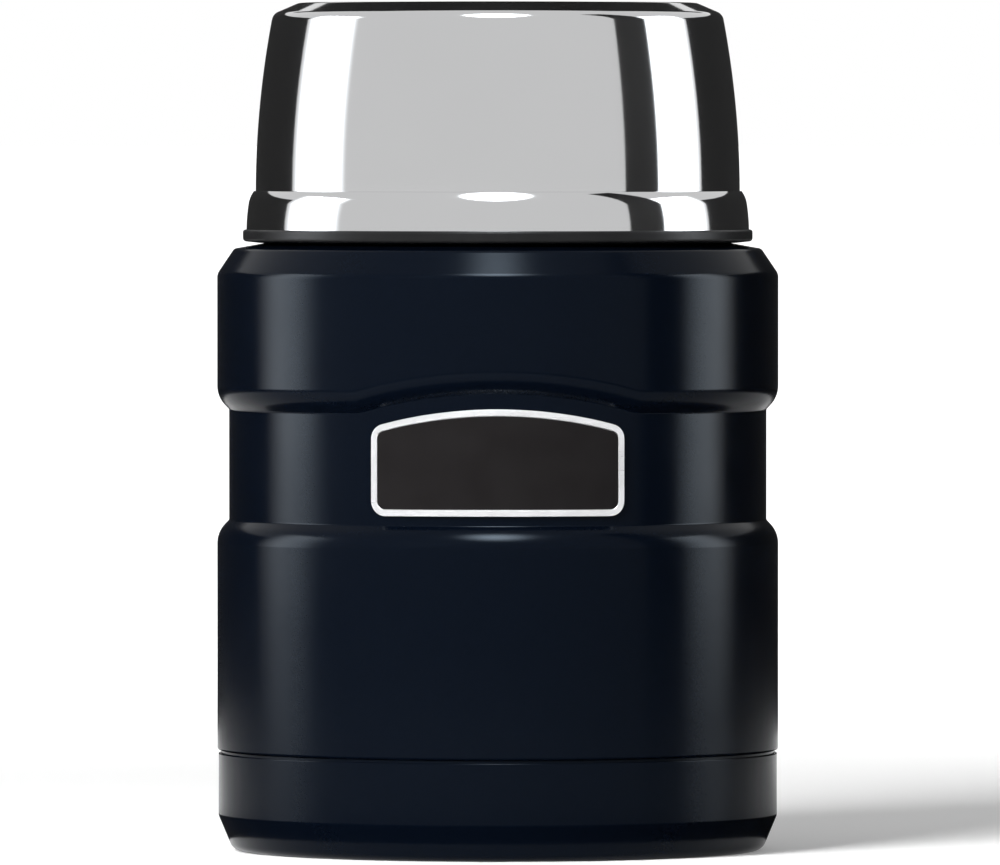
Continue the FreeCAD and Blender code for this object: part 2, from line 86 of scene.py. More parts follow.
class Section:
    """The outline of a turned piece, drawn from corners, roundings and bows."""

    def __init__(self, start_radius: float, start_height: float) -> None:
        """Starts the outline.

        Args:
            start_radius: Distance of the first corner from the axis, in millimetres.
            start_height: Height of the first corner, in millimetres.
        """
        self.corners: List[Corner] = [Corner(start_radius, start_height)]
        self.bows: Dict[int, float] = {}

    def to(self, radius: float, height: float, rounding: float = 0.0) -> "Section":
        """Adds a straight run to a corner.

        Args:
            radius: Distance of the corner from the axis, in millimetres.
            height: Height of the corner, in millimetres.
            rounding: Radius of the arc that rounds the corner, in millimetres.

        Returns:
            The section, so that runs can be chained.
        """
        self.corners.append(Corner(radius, height, rounding))
        return self

    def bow(self, radius: float, height: float, bulge: float) -> "Section":
        """Adds an arc to a corner.

        Args:
            radius: Distance of the corner from the axis, in millimetres.
            height: Height of the corner, in millimetres.
            bulge: How far the arc stands to the right of its chord, in millimetres.

        Returns:
            The section, so that runs can be chained.
        """
        self.bows[len(self.corners)] = bulge
        return self.to(radius, height)

    def points(self, arc_steps: int = 8, bow_steps: int = 24) -> List[Point]:
        """Works out the outline's points.

        Args:
            arc_steps: Spans in each rounding.
            bow_steps: Spans in each bow.

        Returns:
            Points of radius and height, in millimetres, in order.
        """
        found: List[Point] = []
        for index, corner in enumerate(self.corners):
            if index in self.bows:
                found += self._bowed(index, bow_steps)
            if corner.rounding and 0 < index < len(self.corners) - 1:
                found += self._rounded(index, arc_steps)
            else:
                found.append((corner.radius, corner.height))
        return found

    def _bowed(self, index: int, steps: int) -> List[Point]:
        """Points of the arc that ends at a corner, without its two ends."""
        first = self.corners[index - 1].place()
        last = self.corners[index].place()
        bulge = self.bows[index]
        chord = last - first
        side = Vector((chord.y, -chord.x)).normalized()
        curve = (chord.length_squared / 4 + bulge * bulge) / (2 * abs(bulge))
        facing = math.copysign(1, bulge)
        centre = (first + last) / 2 + side * (bulge - facing * curve)
        spread = math.asin(min(1.0, chord.length / (2 * curve)))
        along = chord.normalized()
        turns = [spread * (2 * step / steps - 1) for step in range(1, steps)]
        places = [
            centre + along * curve * math.sin(turn) + side * facing * curve * math.cos(turn)
            for turn in turns
        ]
        return [(place.x, place.y) for place in places]

    def _rounded(self, index: int, steps: int) -> List[Point]:
        """Points of the arc that rounds a corner, with its two ends."""
        corner = self.corners[index]
        here = corner.place()
        into = (here - self.corners[index - 1].place()).normalized()
        out = (self.corners[index + 1].place() - here).normalized()
        turn = into.angle(out)
        reach = corner.rounding * math.tan(turn / 2)
        centre = here + (out - into).normalized() * corner.rounding / math.cos(turn / 2)
        first = here - into * reach - centre
        sense = math.copysign(1, into.x * out.y - into.y * out.x)
        places = []
        for step in range(steps + 1):
            angle = sense * turn * step / steps
            across = first.x * math.cos(angle) - first.y * math.sin(angle)
            up = first.x * math.sin(angle) + first.y * math.cos(angle)
            places.append((centre.x + across, centre.y + up))
        return places


class Shop:
    """Makes meshes and puts the finished pieces in the scene."""

    @staticmethod
    def turned(points: Sequence[Point], steps: int = ROUND_STEPS) -> bmesh.types.BMesh:
        """Spins a closed outline once round the axis.

        Args:
            points: Outline points of radius and height, in millimetres.
            steps: Spans round the axis.

        Returns:
            The closed mesh, in metres.
        """
        mesh = bmesh.new()
        verts = [mesh.verts.new((radius * MM, 0, height * MM)) for radius, height in points]
        edges = [mesh.edges.new(pair) for pair in zip(verts, verts[1:])]
        if points[0][0] > 0 or points[-1][0] > 0:
            edges.append(mesh.edges.new((verts[-1], verts[0])))
        bmesh.ops.spin(
            mesh,
            geom=verts + edges,
            cent=(0, 0, 0),
            axis=(0, 0, 1),
            dvec=(0, 0, 0),
            angle=math.tau,
            steps=steps,
            use_merge=True,
        )
        Shop.tidy(mesh)
        return mesh

    @staticmethod
    def tidy(mesh: bmesh.types.BMesh) -> None:
        """Merges what meets and turns every face outwards."""
        bmesh.ops.remove_doubles(mesh, verts=mesh.verts, dist=TOUCHING)
        bmesh.ops.dissolve_degenerate(mesh, edges=mesh.edges, dist=SLIVER)
        bmesh.ops.recalc_face_normals(mesh, faces=mesh.faces)

    @staticmethod
    def place(name: str, mesh: bmesh.types.BMesh, finish: bpy.types.Material, body: Body) -> bpy.types.Object:
        """Turns a mesh into a finished piece.

        Args:
            name: The piece's name.
            mesh: Its mesh, which is freed.
            finish: Its material.
            body: The body that it rides on.

        Returns:
            The new object.
        """
        for face in mesh.faces:
            face.smooth = True
        for edge in mesh.edges:
            edge.smooth = len(edge.link_faces) == 2 and edge.calc_face_angle(0) < SHARP_ANGLE
        piece = Shop.made(name, mesh, finish)
        even = piece.modifiers.new("even_shading", "WEIGHTED_NORMAL")
        even.keep_sharp = True
        even.weight = EVEN_WEIGHT
        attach(piece, body.value)
        LOG.info("%s rides on %s with %d faces", name, body.value, len(piece.data.polygons))
        return piece

    @staticmethod
    def made(name: str, mesh: bmesh.types.BMesh, finish: bpy.types.Material) -> bpy.types.Object:
        """Turns a mesh into an object with one material.

        Args:
            name: The object's name.
            mesh: Its mesh, which is freed.
            finish: Its material.

        Returns:
            The new object.
        """
        data = bpy.data.meshes.new(name)
        mesh.to_mesh(data)
        mesh.free()
        data.materials.append(finish)
        return Shop.linked(name, data)

    @staticmethod
    def linked(name: str, data: bpy.types.ID) -> bpy.types.Object:
        """Puts a mesh, a lamp or a camera in the scene.

        Args:
            name: The object's name.
            data: What it holds.

        Returns:
            The new object.
        """
        linked = bpy.data.objects.new(name, data)
        bpy.context.scene.collection.objects.link(linked)
        return linked

    @staticmethod
    def dress(node: str, finish: bpy.types.Material) -> None:
        """Gives a carried-over node its finish.

        Args:
            node: The node's name.
            finish: Its material.
        """
        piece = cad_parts[node]
        if not piece.material_slots:
            piece.data.materials.append(finish)
        for slot in piece.material_slots:
            slot.material = finish
        LOG.info("%s dressed as %s", node, finish.name)


class Graph:
    """A node tree, with short calls that fill it."""

    def __init__(self, tree: bpy.types.NodeTree) -> None:
        """Takes hold of a tree."""
        self.nodes = tree.nodes
        self.links = tree.links

    def node(self, kind: str, **values: object) -> bpy.types.Node:
        """Adds a node.

        Args:
            kind: The node's type name.
            values: Its settings.

        Returns:
            The new node.
        """
        made = self.nodes.new(kind)
        for key, value in values.items():
            setattr(made, key, value)
        return made

    def join(self, source: bpy.types.NodeSocket, target: bpy.types.NodeSocket) -> None:
        """Links two sockets."""
        self.links.new(source, target)

    def math(self, operation: str, first: object, second: object = 0.0) -> bpy.types.NodeSocket:
        """Adds a sum.

        Args:
            operation: The sum's name.
            first: A socket or a number.
            second: A socket or a number.

        Returns:
            The result's socket.
        """
        made = self.node("ShaderNodeMath", operation=operation)
        for socket, value in zip(made.inputs, (first, second)):
            if isinstance(value, bpy.types.NodeSocket):
                self.join(value, socket)
            else:
                socket.default_value = value
        return made.outputs[0]

    def spread(
        self,
        value: bpy.types.NodeSocket,
        target: Point,
        source: Point = PATTERN_SPAN,
        easing: str = "LINEAR",
    ) -> bpy.types.NodeSocket:
        """Maps one range of values onto another.

        Args:
            value: What is mapped.
            target: The two ends of the range it goes to.
            source: The two ends of the range it comes from, by default those of a noise.
            easing: How it runs between the ends.

        Returns:
            The mapped value's socket.
        """
        made = self.node("ShaderNodeMapRange", interpolation_type=easing)
        for name, end in zip(("From Min", "From Max", "To Min", "To Max"), (*source, *target)):
            made.inputs[name].default_value = end
        self.join(value, made.inputs["Value"])
        return made.outputs[0]

    def shown(self) -> bpy.types.NodeSocket:
        """One where a thing is seen straight on, in gloss or through glass, and none as light."""
        path = self.node("ShaderNodeLightPath")
        seen = self.math("MAXIMUM", path.outputs["Is Camera Ray"], path.outputs["Is Glossy Ray"])
        return self.math("MAXIMUM", seen, path.outputs["Is Transmission Ray"])


class Shader(Graph):
    """A material's node tree, with one surface shader."""

    def __init__(self, name: str) -> None:
        """Starts a plain material.

        Args:
            name: The material's name.
        """
        self.material = bpy.data.materials.new(name)
        self.material.use_nodes = True
        super().__init__(self.material.node_tree)
        self.surface = self.nodes["Principled BSDF"]

    def set(self, **values: object) -> None:
        """Sets constants on the surface shader, with underscores for spaces."""
        for key, value in values.items():
            self.surface.inputs[key.replace("_", " ")].default_value = value

    def place(self, scale: Sequence[float] = (1, 1, 1)) -> bpy.types.NodeSocket:
        """Object coordinates, scaled.

        Args:
            scale: Factor for each axis.

        Returns:
            The vector's socket.
        """
        source = self.node("ShaderNodeTexCoord")
        mapping = self.node("ShaderNodeMapping")
        mapping.inputs["Scale"].default_value = scale
        self.join(source.outputs["Object"], mapping.inputs["Vector"])
        return mapping.outputs["Vector"]

    def lathe_lines(self, fine: float, drift: float) -> bpy.types.NodeSocket:
        """Coordinates that run with a lathe's lines: close across them, long round the axis.

        Args:
            fine: Lines for each metre across them.
            drift: How fast the lines change on the way round, for each metre.

        Returns:
            The vector's socket.
        """
        split = self.node("ShaderNodeSeparateXYZ")
        self.join(self.place(), split.inputs[0])
        across = self.math("MULTIPLY", split.outputs["X"], split.outputs["X"])
        deep = self.math("MULTIPLY", split.outputs["Y"], split.outputs["Y"])
        radius = self.math("SQRT", self.math("ADD", across, deep))
        merged = self.node("ShaderNodeCombineXYZ")
        self.join(self.math("MULTIPLY", radius, fine), merged.inputs["X"])
        self.join(self.math("MULTIPLY", split.outputs["Z"], fine), merged.inputs["Y"])
        self.join(self.math("MULTIPLY", split.outputs["X"], drift), merged.inputs["Z"])
        return merged.outputs[0]

    def noise(self, vector: bpy.types.NodeSocket, scale: float, detail: float = 3.0) -> bpy.types.NodeSocket:
        """Adds a noise.

        Args:
            vector: Where it is read.
            scale: Its scale.
            detail: Its octaves.

        Returns:
            The factor's socket.
        """
        made = self.node("ShaderNodeTexNoise")
        made.inputs["Scale"].default_value = scale
        made.inputs["Detail"].default_value = detail
        self.join(vector, made.inputs["Vector"])
        return made.outputs["Fac"]

    def tint(self, factor: bpy.types.NodeSocket, first: Colour, second: Colour) -> None:
        """Mixes two colours into the base colour.

        Args:
            factor: The mix.
            first: Colour where the factor is weak.
            second: Colour where it is strong.
        """
        ramp = self.node("ShaderNodeValToRGB")
        for stop, place, colour in zip(ramp.color_ramp.elements, PATTERN_SPAN, (first, second)):
            stop.position = place
            stop.color = (*colour, 1)
        self.join(factor, ramp.inputs["Fac"])
        self.join(ramp.outputs["Color"], self.surface.inputs["Base Color"])

    def roughen(self, pattern: bpy.types.NodeSocket, roughness: float, shares: Point) -> None:
        """Varies the roughness by a pattern.

        Args:
            pattern: The pattern.
            roughness: The middle roughness.
            shares: How much of it there is where the pattern is weak and where it is strong.
        """
        ends = (roughness * shares[0], roughness * shares[1])
        self.join(self.spread(pattern, ends), self.surface.inputs["Roughness"])

    def bump(self, height: bpy.types.NodeSocket, depth: float) -> None:
        """Raises the surface by a pattern.

        Args:
            height: The pattern.
            depth: Its depth, in metres.
        """
        made = self.node("ShaderNodeBump")
        made.inputs["Strength"].default_value = 1.0
        made.inputs["Distance"].default_value = depth
        self.join(height, made.inputs["Height"])
        self.join(made.outputs["Normal"], self.surface.inputs["Normal"])


@dataclass(frozen=True)
class Paint:
    """Smooth dark paint with a faint orange peel and a fine fleck."""

    name: str = "midnight_paint"
    colour: Colour = (0.0007, 0.0016, 0.0040)
    fleck: Colour = (0.0012, 0.0024, 0.0054)
    fleck_scale: float = 2600.0
    peel_scale: float = 420.0
    peel_depth: float = 0.000004
    patch_scale: float = 60.0
    roughness: float = 0.17
    roughness_shares: Point = (0.9, 1.15)
    specular: float = 0.06
    gloss: Colour = (0.75, 0.88, 1.0)

    def build(self) -> bpy.types.Material:
        """Returns the material."""
        shader = Shader(self.name)
        shader.set(Specular_IOR_Level=self.specular, Specular_Tint=(*self.gloss, 1))
        place = shader.place()
        shader.tint(shader.noise(place, self.fleck_scale, detail=2.0), self.colour, self.fleck)
        patches = shader.noise(place, self.patch_scale, detail=4.0)
        shader.roughen(patches, self.roughness, self.roughness_shares)
        shader.bump(shader.noise(place, self.peel_scale, detail=2.0), self.peel_depth)
        return shader.material


@dataclass(frozen=True)
class Steel:
    """Steel with the fine lines that turning and polishing leave."""

    name: str
    colour: Colour
    shade: Colour
    roughness: float
    line_scale: float = 1.0
    fine: float = 9000.0
    line_depth: float = 0.000002
    drift: float = 25.0
    smear_scale: float = 70.0
    smear_stretch: Tuple[float, float, float] = (1, 1, 1.6)
    roughness_shares: Point = (0.75, 1.3)

    def build(self) -> bpy.types.Material:
        """Returns the material."""
        shader = Shader(self.name)
        shader.set(Metallic=1.0)
        lines = shader.noise(shader.lathe_lines(self.fine, self.drift), self.line_scale, detail=3.0)
        smears = shader.noise(shader.place(self.smear_stretch), self.smear_scale, detail=4.0)
        shader.tint(smears, self.shade, self.colour)
        halves = [shader.math("MULTIPLY", pattern, 0.5) for pattern in (lines, smears)]
        shader.roughen(shader.math("ADD", *halves), self.roughness, self.roughness_shares)
        shader.bump(lines, self.line_depth)
        return shader.material


@dataclass(frozen=True)
class Moulded:
    """Moulded plastic or rubber with a fine spark-eroded grain."""

    name: str
    colour: Colour
    worn: Colour
    roughness: float
    grain_scale: float = 2200.0
    grain_depth: float = 0.00002
    wear_scale: float = 180.0
    roughness_shares: Point = (0.9, 1.1)
    sheen: float = 0.0
    glow: float = 0.0
    gloss: float = 0.5

    def build(self) -> bpy.types.Material:
        """Returns the material."""
        shader = Shader(self.name)
        shader.set(Sheen_Weight=self.sheen, Subsurface_Weight=self.glow)
        shader.set(Specular_IOR_Level=self.gloss)
        place = shader.place()
        shader.tint(shader.noise(place, self.wear_scale, detail=5.0), self.colour, self.worn)
        grain = shader.noise(place, self.grain_scale, detail=4.0)
        shader.roughen(grain, self.roughness, self.roughness_shares)
        shader.bump(grain, self.grain_depth)
        return shader.material


@dataclass(frozen=True)
class Foil:
    """Thin bright foil with soft creases, with painted shade in their hollows."""

    name: str = "wrinkled_foil"
    colour: Colour = (0.72, 0.43, 0.30)
    # Painted shade: the darker colour that the hollows of the creases get.
    shade: Colour = (0.60, 0.34, 0.23)
    roughness: float = 0.25
    crease_scale: float = 240.0
    crease_depth: float = 0.0002

    def build(self) -> bpy.types.Material:
        """Returns the material."""
        shader = Shader(self.name)
        shader.set(Metallic=1.0, Roughness=self.roughness)
        creases_and_shade = shader.noise(shader.place(), self.crease_scale, detail=6.0)
        # Painted shade: the pattern that raises the creases also darkens their hollows towards the shade
        # colour, and their crests keep the brighter colour.
        shader.tint(creases_and_shade, self.shade, self.colour)
        shader.bump(creases_and_shade, self.crease_depth)
        return shader.material


class Finishes:
    """Every finish on the jar, made once."""

    def __init__(self) -> None:
        """Builds the materials."""
        self.paint = Paint().build()
        self.polished = Steel(
            "polished_steel", (0.535, 0.537, 0.542), (0.525, 0.527, 0.532), 0.06,
            line_depth=0.0000004, smear_scale=35.0,
        ).build()
        self.brushed = Steel("brushed_steel", (0.56, 0.555, 0.55), (0.50, 0.50, 0.495), 0.26).build()
        self.silver = Steel(
            "badge_silver", (0.82, 0.82, 0.83), (0.76, 0.76, 0.77), 0.32,
            fine=4000.0, line_depth=0.0000006,
        ).build()
        self.enamel = Moulded(
            "badge_enamel", (0.0070, 0.0062, 0.0064), (0.0088, 0.0080, 0.0082), 0.42,
            grain_depth=0.000004, gloss=0.04,
        ).build()
        self.plastic = Moulded(
            "black_plastic", (0.0090, 0.0092, 0.0098), (0.0125, 0.0128, 0.0135), 0.46,
            gloss=0.3,
        ).build()
        self.bead = Moulded(
            "bead_plastic", (0.0060, 0.0060, 0.0064), (0.0085, 0.0085, 0.0090), 0.36,
            grain_depth=0.000008, gloss=0.12,
        ).build()
        self.silicone = Moulded(
            "silicone", (0.24, 0.25, 0.26), (0.29, 0.30, 0.31), 0.5,
            grain_depth=0.000008, sheen=0.15, glow=0.1,
        ).build()
        self.foam = Moulded(
            "foam", (0.80, 0.77, 0.68), (0.86, 0.84, 0.76), 0.9,
            grain_scale=900.0, grain_depth=0.0003,
        ).build()
        self.foil = Foil().build()
        self.solder = Steel(
            "solder", (0.62, 0.61, 0.58), (0.48, 0.47, 0.44), 0.4,
            line_depth=0.00002,
        ).build()
        self.pellet = Moulded(
            "getter_metal", (0.10, 0.10, 0.105), (0.16, 0.16, 0.165), 0.7,
            grain_depth=0.00006,
        ).build()
        self.glue = Moulded("adhesive", (0.09, 0.09, 0.09), (0.12, 0.12, 0.12), 0.6).build()


@dataclass
class Thread:
    """The ridges of a two-start thread, with ends that fade into the wall."""

    root: float
    height: float
    start: float
    lead: float = 8.0
    starts: int = 2
    turn: float = 0.6
    fade: float = 0.08
    wrapped_share: float = 1.5
    sunk: float = 0.2
    root_width: float = 2.1
    crest_width: float = 1.1
    crest_rounding: float = 0.25
    steps: int = 120

    def build(self) -> bmesh.types.BMesh:
        """Sweeps each ridge up its helix.

        Returns:
            The ridges' mesh, in metres.
        """
        mesh = bmesh.new()
        outward = math.copysign(1, self.height)
        base = self.root - outward * self.sunk
        crest = self.root + self.height
        for start in range(self.starts):
            section = Section(base, self.start - self.root_width / 2)
            section.to(crest, self.start - self.crest_width / 2, self.crest_rounding)
            section.to(crest, self.start + self.crest_width / 2, self.crest_rounding)
            section.to(base, self.start + self.root_width / 2)
            verts = [mesh.verts.new((across * MM, 0, up * MM)) for across, up in section.points(arc_steps=3)]
            edges = [mesh.edges.new(pair) for pair in zip(verts, verts[1:] + verts[:1])]
            spun = self._swept(mesh, verts, edges)
            self._faded(spun, base, outward)
            turn = Matrix.Rotation(math.tau * start / self.starts, 3, "Z")
            bmesh.ops.rotate(mesh, verts=spun, cent=(0, 0, 0), matrix=turn)
        bmesh.ops.holes_fill(mesh, edges=[edge for edge in mesh.edges if edge.is_boundary], sides=0)
        Shop.tidy(mesh)
        return mesh

    def _swept(self, mesh: bmesh.types.BMesh, verts: List, edges: List) -> List:
        """Screws a section round the axis.

        Args:
            mesh: The mesh that holds the section.
            verts: The section's verts.
            edges: The section's edges.

        Returns:
            All the verts of the ridge.
        """
        before = set(mesh.verts) - set(verts)
        bmesh.ops.spin(
            mesh,
            geom=verts + edges,
            cent=(0, 0, 0),
            axis=(0, 0, 1),
            dvec=(0, 0, self.lead * self.turn * MM / self.steps),
            angle=math.tau * self.turn,
            steps=self.steps,
            use_merge=False,
        )
        return [vert for vert in mesh.verts if vert not in before]

    def _faded(self, verts: List, base: float, outward: float) -> None:
        """Sinks both ends of a ridge into its wall.

        A vert at the start can lie a hair before it, where its share of the turn has wrapped round.

        Args:
            verts: The ridge's verts.
            base: Radius of its foot, in millimetres.
            outward: One where the ridge points away from the axis, or else minus one.
        """
        floor = base + outward * self.sunk / 2
        for vert in verts:
            radius = math.hypot(vert.co.x, vert.co.y)
            share = (math.atan2(vert.co.y, vert.co.x) % math.tau) / (math.tau * self.turn)
            share = 0.0 if share > self.wrapped_share else min(share, 1.0)
            fade = min(1.0, share / self.fade, (1 - share) / self.fade)
            smooth = fade * fade * (3 - 2 * fade)
            above = (radius - floor * MM) * outward
            if above > 0:
                wanted = floor * MM + outward * above * smooth
                vert.co.x *= wanted / radius
                vert.co.y *= wanted / radius


@dataclass
class JarBody:
    """The painted body, its foot cup, the vessel inside and what the vacuum space holds."""

    finishes: Finishes
    radius: float = 47.0
    recess_depth: float = 1.98
    recess_bottom: float = 55.4
    recess_top: float = 73.9
    recess_angle: float = 43.7
    recess_crown: float = 4.6
    recess_root: float = 0.5
    arch_rise: float = 3.3
    arch_radius: float = 93.0
    shoulder_edge: float = 96.6
    chamfer_top: float = 100.8
    chamfer_radius: float = 44.167
    shoulder_slope: float = 0.18
    neck_radius: float = 37.0
    rim: float = 120.0
    wall: float = 0.5
    groove_root_rounding: float = 0.12
    groove_edge_rounding: float = 0.45
    lower_ring_drop: float = 20.0
    shoulder_rounding: float = 2.0
    chamfer_rounding: float = 1.0
    neck_rounding: float = 0.8
    paint_lip: float = 1.4
    thread_height: float = 1.4
    neck_thread_lift: float = 4.6
    vessel_thread_lift: float = 8.0
    arch_blend: float = 0.12
    arch_end: float = -1.5
    cup_radius: float = 46.8
    cup_top: float = 16.35
    cup_wall: float = 0.4
    cup_lip_rounding: float = 0.15
    foot_edge: float = 44.32
    foot_width: float = 4.0
    foot_rounding: float = 2.0
    foot_inner_rounding: float = 0.5
    foot_top: float = 5.9
    foot_top_rounding: float = 1.5
    foot_inside: float = 1.2
    disc_height: float = 1.8
    disc_step: float = 1.5
    disc_rounding: float = 0.6
    foot_shell: float = 46.3
    shell_bottom: float = 6.5
    groove_top: float = 16.85
    throat_radius: float = 33.0
    throat_height: float = 102.6
    seat_top: float = 105.0
    vessel_neck: float = 35.4
    vessel_radius: float = 41.2
    vessel_floor: float = 10.5
    vessel_corner: float = 6.0
    vessel_back_corner: float = 3.0
    vessel_cone: float = 90.0
    cone_rounding: float = 3.0
    seat_rounding: float = 0.6
    back_step: float = 0.2
    rim_roundings: Tuple[float, float, float] = (0.1, 0.3, 0.4)

    def build(self) -> None:
        """Makes every piece of the body."""
        self._shell()
        self._cup()
        self._vessel()
        self._hidden()

    def _slope(self) -> float:
        """Height that the recess's sloping side takes."""
        return self.recess_depth / math.tan(math.radians(self.recess_angle))

    def _shell(self) -> None:
        """The painted shell with its arched recess, and the thread on its steel neck."""
        slope = self._slope()
        floor = self.radius - self.recess_depth
        neck_root = self.chamfer_top + (self.chamfer_radius - self.neck_radius) * self.shoulder_slope
        paint_end = self.neck_radius + self.paint_lip
        paint_height = neck_root - self.paint_lip * self.shoulder_slope
        outer = Section(self.foot_shell - self.wall, self.shell_bottom)
        outer.to(self.foot_shell, self.shell_bottom)
        outer.to(self.foot_shell, self.groove_top, self.groove_root_rounding)
        outer.to(self.radius, self.groove_top, self.groove_edge_rounding)
        outer.to(self.radius, self.recess_bottom - slope - self.lower_ring_drop)
        outer.to(self.radius, self.recess_bottom - slope, self.recess_crown)
        outer.to(floor, self.recess_bottom, self.recess_root)
        outer.to(floor, self.recess_top, self.recess_root)
        outer.to(self.radius, self.recess_top + slope, self.recess_crown)
        outer.to(self.radius, self.shoulder_edge, self.shoulder_rounding)
        outer.to(self.chamfer_radius, self.chamfer_top, self.chamfer_rounding)
        outer.to(paint_end, paint_height)
        inside = self.wall
        outer.to(paint_end, paint_height - inside)
        outer.to(self.chamfer_radius - inside, self.chamfer_top - inside)
        outer.to(self.radius - inside, self.shoulder_edge - inside)
        outer.to(self.radius - inside, self.recess_top + slope + self.recess_crown / 2)
        outer.to(floor - inside, self.recess_top + inside)
        outer.to(floor - inside, self.recess_bottom - inside)
        outer.to(self.radius - inside, self.recess_bottom - slope - self.recess_crown / 2)
        outer.to(self.radius - inside, self.groove_top + inside)
        outer.to(self.foot_shell - inside, self.groove_top + inside)
        mesh = Shop.turned(outer.points(arc_steps=8))
        self._raise_arch(mesh)
        shell = Shop.place("painted_shell", mesh, self.finishes.paint, Body.JAR)
        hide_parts("outer_shell")
        neck = Section(self.neck_radius - self.wall, paint_height - inside)
        neck.to(paint_end, paint_height - inside)
        neck.to(paint_end, paint_height)
        neck.to(self.neck_radius, neck_root, self.neck_rounding)
        neck.to(self.neck_radius, self.rim - self.wall)
        neck.to(self.neck_radius - self.wall, self.rim - self.wall)
        mesh = Shop.turned(neck.points(arc_steps=6))
        bare = Shop.place("steel_neck", mesh, self.finishes.brushed, Body.JAR)
        thread = Thread(self.neck_radius, self.thread_height, neck_root + self.neck_thread_lift)
        ridges = Shop.place("neck_thread", thread.build(), self.finishes.brushed, Body.JAR)

    def _raise_arch(self, mesh: bmesh.types.BMesh) -> None:
        """Lifts the recess's upper side into its arch over the badge.

        Args:
            mesh: The turned shell.
        """
        slope = self._slope()
        low = (self.recess_top - self.recess_root) * MM
        high = (self.recess_top + slope + self.recess_crown) * MM
        for vert in mesh.verts:
            if low <= vert.co.z <= high:
                along = self.radius * math.atan2(vert.co.x, -vert.co.y)
                rise = self.arch_rise - along * along / (2 * self.arch_radius)
                soft = (rise + math.hypot(rise, self.arch_blend)) / 2
                vert.co.z += soft * MM if rise > self.arch_end else 0.0

    def _cup(self) -> None:
        """The cup pressed over the foot."""
        inner = self.cup_wall
        foot_inner = self.foot_edge - self.foot_width
        step = foot_inner - self.disc_step
        cup = Section(0, self.disc_height)
        cup.to(step, self.disc_height, self.disc_rounding)
        cup.to(foot_inner, 0, self.foot_inner_rounding)
        cup.to(self.foot_edge, 0, self.foot_rounding)
        cup.to(self.cup_radius, self.foot_top, self.foot_top_rounding)
        cup.to(self.cup_radius, self.cup_top, self.cup_lip_rounding)
        cup.to(self.cup_radius - inner, self.cup_top)
        cup.to(self.cup_radius - inner, self.foot_top + inner / 2)
        cup.to(self.foot_edge - inner, inner + self.foot_inside)
        cup.to(self.foot_edge - inner - self.foot_inside, inner)
        cup.to(foot_inner + inner, inner)
        cup.to(step + inner, self.disc_height + inner)
        cup.to(0, self.disc_height + inner)
        piece = Shop.place("foot_cup", Shop.turned(cup.points(arc_steps=8)), self.finishes.paint, Body.JAR)
        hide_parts("base_cup")

    def _vessel(self) -> None:
        """The steel vessel with its seat, thread and rolled rim."""
        wall = self.wall
        under_rim, rim_edge, mouth_edge = self.rim_roundings
        vessel = Section(0, self.vessel_floor - wall)
        vessel.to(self.vessel_radius - self.vessel_back_corner, self.vessel_floor - wall)
        vessel.to(self.vessel_radius + wall, self.vessel_floor + self.vessel_back_corner)
        vessel.to(self.vessel_radius + wall, self.vessel_cone + self.back_step)
        vessel.to(self.throat_radius + wall, self.throat_height)
        vessel.to(self.vessel_neck + wall, self.seat_top - self.back_step)
        vessel.to(self.vessel_neck + wall, self.rim - wall)
        vessel.to(self.neck_radius, self.rim - wall, under_rim)
        vessel.to(self.neck_radius, self.rim, rim_edge)
        vessel.to(self.vessel_neck, self.rim, mouth_edge)
        vessel.to(self.vessel_neck, self.seat_top, self.seat_rounding)
        vessel.to(self.throat_radius, self.throat_height, self.seat_rounding)
        vessel.to(self.vessel_radius, self.vessel_cone, self.cone_rounding)
        vessel.to(self.vessel_radius, self.vessel_floor, self.vessel_corner)
        vessel.to(0, self.vessel_floor)
        mesh = Shop.turned(vessel.points(arc_steps=8))
        piece = Shop.place("food_vessel", mesh, self.finishes.brushed, Body.JAR)
        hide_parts("inner_vessel")
        thread_start = self.throat_height + self.vessel_thread_lift
        thread = Thread(self.vessel_neck, -self.thread_height, thread_start)
        ridges = Shop.place("vessel_thread", thread.build(), self.finishes.brushed, Body.JAR)

    def _hidden(self) -> None:
        """Finishes for the pieces that the vacuum space hides."""
        Shop.dress("base_disc", self.finishes.brushed)
        Shop.dress("vacuum_seal_bead", self.finishes.solder)
        Shop.dress("radiation_foil", self.finishes.foil)
        Shop.dress("getter", self.finishes.pellet)
        Shop.dress("getter_clip", self.finishes.brushed)


